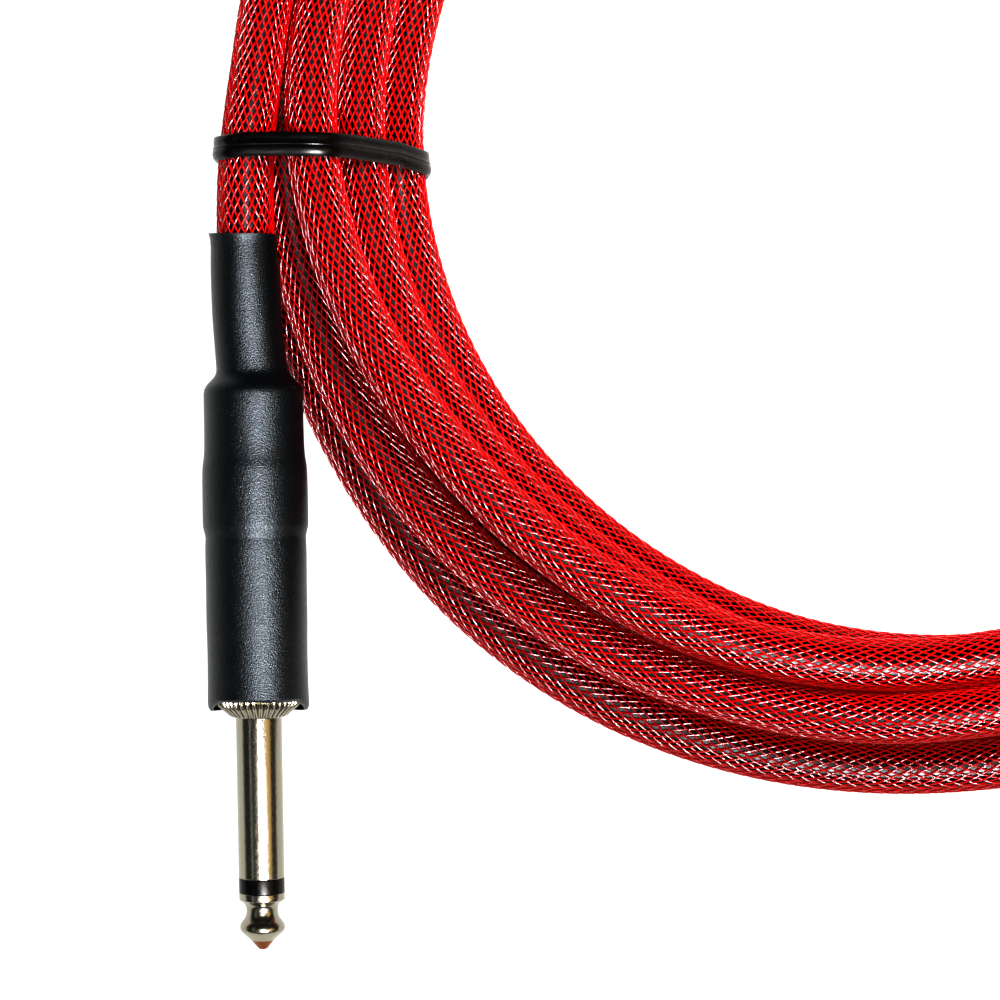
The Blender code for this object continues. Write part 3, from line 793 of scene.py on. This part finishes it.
def tie_loop(section):
    """The tie's line round the strands' circles, as (radius, height), given the strands' centres,
    and the outward direction at each of its points."""
    turn = np.radians(np.arange(0, 360, TIE_TOUCH_STEP_DEG))
    outward = np.column_stack([np.cos(turn), np.sin(turn)])
    touching = section[(section @ outward.T).argmax(axis=0)]
    loop = touching + outward * (CORD_R + TIE_THICKNESS / 2 + TIE_SLACK)
    loop = closed_steps(loop, TIE_STEPS)
    for _ in range(TIE_SMOOTHING):
        loop += EASING * (np.roll(loop, 1, axis=0) + np.roll(loop, -1, axis=0) - 2 * loop)
    loop[:, 1] = np.maximum(loop[:, 1], TIE_THICKNESS / 2 + TIE_FLOOR_GAP)
    along = np.roll(loop, -1, axis=0) - np.roll(loop, 1, axis=0)
    along /= np.linalg.norm(along, axis=1, keepdims=True)
    return loop, np.column_stack([along[:, 1], -along[:, 0]])


def tie_band():
    """The tie's section: (along the cord, outward) points, with a seam along its middle."""
    half, thick = TIE_WIDTH / 2, TIE_THICKNESS / 2
    return np.array([
        (half, -thick), (half, thick * 0.3), (half - 0.15, thick * 0.62),
        (half * 0.55, thick * 0.72), (0.22, thick * 0.74), (0.12, thick), (0.0, thick),
        (-0.1, thick * 0.8), (-0.4, thick * 1.05), (-half * 0.5, thick * 1.15),
        (-half * 0.8, thick * 0.85), (-half, thick * 0.2), (-half + 0.05, -thick),
    ])


def make_tie(at, place, material):
    """A flat band drawn tight round the strands, leaning as it goes down."""
    near = round((-at[0] + TIE_DEG) / DEG_STEP)
    rows = [near + turn * STEPS_PER_TURN for turn in range(len(PASSES))]
    loop, outward = tie_loop(place[rows])
    band = tie_band()
    upper = np.interp(loop[:, 0], *np.array(TIE_UPPER_RUN).T)
    lower = np.full(len(loop), TIE_LOWER_Y)
    share = np.clip((outward[:, 1] + TIE_CHANGE) / TIE_CHANGE, 0, 1)
    share = share**2 * (3 - 2 * share)
    middle_y = share * upper + (1 - share) * lower
    radius = loop[:, :1] + outward[:, :1] * band[None, :, 1]
    height = loop[:, 1:] + outward[:, 1:] * band[None, :, 1]
    y = middle_y[:, None] + band[None, :, 0]
    x = -np.sqrt(radius**2 - y**2)
    points = np.stack([x, y, height], axis=-1) + COIL_CENTRE
    faces = grid_faces(len(loop), len(band), True)
    tie = mesh_object("tie", points.reshape(-1, 3), faces, material)
    tie.data.set_sharp_from_angle(angle=math.radians(50))
    return tie


# ---------------------------------------------------------------- studio


def make_floor():
    """A plain pale floor that glows a little, so that it stays white."""
    material = bpy.data.materials.new("floor paper")
    material.use_nodes = True
    shader = material.node_tree.nodes["Principled BSDF"]
    shader.inputs["Base Color"].default_value = (0.3, 0.3, 0.3, 1)
    shader.inputs["Roughness"].default_value = 0.9
    shader.inputs["Specular IOR Level"].default_value = 0.1
    shader.inputs["Emission Color"].default_value = (1, 1, 1, 1)
    shader.inputs["Emission Strength"].default_value = FLOOR_GLOW
    bpy.ops.mesh.primitive_plane_add(size=FLOOR_SIZE_M, location=(0, 0, -FLOOR_DROP_M))
    floor = bpy.context.object
    floor.name = "floor"
    floor.data.materials.append(material)


def make_sky():
    """A dark studio with a paler horizon."""
    world = bpy.data.worlds.new("studio")
    bpy.context.scene.world = world
    world.use_nodes = True
    nodes, links = world.node_tree.nodes, world.node_tree.links
    place = nodes.new("ShaderNodeTexCoord")
    split = nodes.new("ShaderNodeSeparateXYZ")
    links.new(place.outputs["Generated"], split.inputs["Vector"])
    ramp = nodes.new("ShaderNodeValToRGB")
    links.new(split.outputs["Z"], ramp.inputs["Fac"])
    elements = ramp.color_ramp.elements
    while len(elements) < len(SKY_STOPS):
        elements.new(0.5)
    for element, (position, value) in zip(elements, SKY_STOPS):
        element.position = position
        element.color = (value, value, value * 1.02, 1)
    links.new(ramp.outputs["Color"], nodes["Background"].inputs["Color"])


def add_light(name, across_deg, along_deg, size_deg, brightness, colour, mirrored=True,
              spread=True):
    """A soft light seen from the cable that far from straight above, to the right and to the top
    of the picture, and of that angular width and height. It may be kept out of the reflections,
    or seen in them alone."""
    toward = Vector((math.tan(math.radians(across_deg)), math.tan(math.radians(along_deg)), 1))
    place = toward.normalized() * LIGHT_DISTANCE_M
    width, height = (2 * LIGHT_DISTANCE_M * math.tan(math.radians(s) / 2) for s in size_deg)
    light = bpy.data.lights.new(name, "AREA")
    light.shape = "RECTANGLE"
    light.size, light.size_y = width, height
    light.energy = brightness * math.pi * width * height
    light.color = colour
    thing = bpy.data.objects.new(name, light)
    bpy.context.scene.collection.objects.link(thing)
    facing = -place.normalized()
    side = facing.cross(Vector((0, 1, 0))).normalized()
    turn = Matrix((side, side.cross(facing), -facing)).transposed().to_4x4()
    thing.matrix_world = Matrix.Translation(place) @ turn
    thing.visible_camera = False
    thing.visible_glossy = mirrored
    thing.visible_diffuse = spread


def make_lights():
    """A warm window lights the red braid. The softbox, the warm card and the left strip draw the
    long bands on the sleeves and the nickel, and the small light the braid's bright dashes."""
    add_light("window", 30, 34, (30, 30), 16.0, (1.0, 0.90, 0.80), mirrored=False)
    add_light("softbox", 0, -16, (16, 40), 5.8, (0.94, 0.97, 1.0))
    add_light("small light", 11, -33, (20, 20), 120.0, (1.0, 0.93, 0.96), spread=False)
    add_light("warm card", 42, -10, (26, 40), 1.3, (1.0, 0.62, 0.2))
    add_light("left strip", -48, -10, (4, 50), 1.2, (0.9, 0.95, 1.0))


def make_camera():
    """Straight above, over plug A's side of the coil, and so far off that the perspective is
    small."""
    data = bpy.data.cameras.new("camera")
    camera = bpy.data.objects.new("camera", data)
    bpy.context.scene.collection.objects.link(camera)
    data.sensor_width = SENSOR_WIDTH
    data.lens = SENSOR_WIDTH * CAMERA_PLACE_M[2] / SEEN_WIDTH_M
    data.clip_start, data.clip_end = 0.05, 100.0
    camera.location = CAMERA_PLACE_M
    bpy.context.scene.camera = camera


def set_view():
    view = bpy.context.scene.view_settings
    view.view_transform = "Standard"
    view.look = "High Contrast"


# ---------------------------------------------------------------- all together


def carry_over(name, material):
    """A CAD node that stays as it is gets a finished material."""
    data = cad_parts[name].data
    data.materials.clear()
    data.materials.append(material)


def outer_materials():
    """The materials of a plug's reshaped pieces."""
    return {
        "nickel": nickel_material(),
        # the tip's nickel, with a brown reflection painted on its end facet
        "nickel with painted reflection": nickel_with_painted_reflection_material(),
        "heat shrink": heat_shrink_material(),
        "insulator": simple_material("black insulator", (0.003, 0.003, 0.003), 0.28, specular=0.15),
    }


def inner_materials(nickel, insulator, jacket):
    """The material of each CAD node inside a plug."""
    tin = simple_material("tinned lug", (0.62, 0.61, 0.58), 0.4, 1.0, 1.2, 0.02)
    copper = simple_material("stranded copper", (0.78, 0.38, 0.2), 0.34, 1.0, 3.0, 0.05)
    return {
        "barrel": nickel,
        "centre_rod": simple_material("turned brass", (0.72, 0.48, 0.2), 0.28, 1.0),
        "rod_insulator": insulator,
        "rear_washer": insulator,
        "tip_lug": tin,
        "ground_terminal": tin,
        "barrel_liner": simple_material("liner plastic", (0.62, 0.63, 0.6), 0.45),
        "jacket_end": jacket,
        "core_insulation": simple_material("core plastic", (0.7, 0.69, 0.64), 0.4),
        "tip_conductor": copper,
        "shield_pigtail": copper,
    }


def make_plug(letter, looks):
    """A plug's reshaped pieces, each in the place of its CAD node."""
    made = [
        # the tip contact takes nickel with a brown reflection painted on its end facet
        (tip_contact, "tip_contact", "nickel with painted reflection", "plug_metal"),
        (tip_insulator, "tip_insulator", "insulator", "plug_insulator"),
        (sleeve_contact, "sleeve_contact", "nickel", "plug_metal"),
        (serrated_collar, "serrated_collar", "nickel", "plug_metal"),
        (front_sleeve, "front_sleeve", "heat shrink", "heat_shrink"),
        (rear_sleeve, "rear_sleeve", "heat shrink", "heat_shrink"),
    ]
    pieces = []
    for make, name, look, slot in made:
        piece = make(f"{name}_{letter}", letter, looks[look])
        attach(piece, "root")
        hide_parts(f"plug_{letter}_{name}")
        pieces.append(piece)
    return pieces


def declare_cord(jacket, braid, tie):
    """Says what the cord's pieces ride on and replace."""
    for piece in [jacket, *braid, tie]:
        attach(piece, "root")
    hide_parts("cord_coil", "cord_lead_a", "cord_lead_b")
    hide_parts("coil_tie")


def main():
    make_camera()
    free, in_a, in_b, coil = cord_route()
    jacket_look = jacket_material()
    jacket = make_jacket(free, jacket_look)
    braid = make_braid(free, in_a, in_b, braid_material())
    tie = make_tie(*coil, tie_material())
    outer = outer_materials()
    inner = inner_materials(outer["nickel"], outer["insulator"], jacket_look)
    plugs = {letter: make_plug(letter, outer) for letter in PLUGS}
    for letter in PLUGS:
        for node, material in inner.items():
            carry_over(f"plug_{letter}_{node}", material)
    declare_cord(jacket, braid, tie)
    make_floor()
    make_sky()
    make_lights()
    set_view()


main()
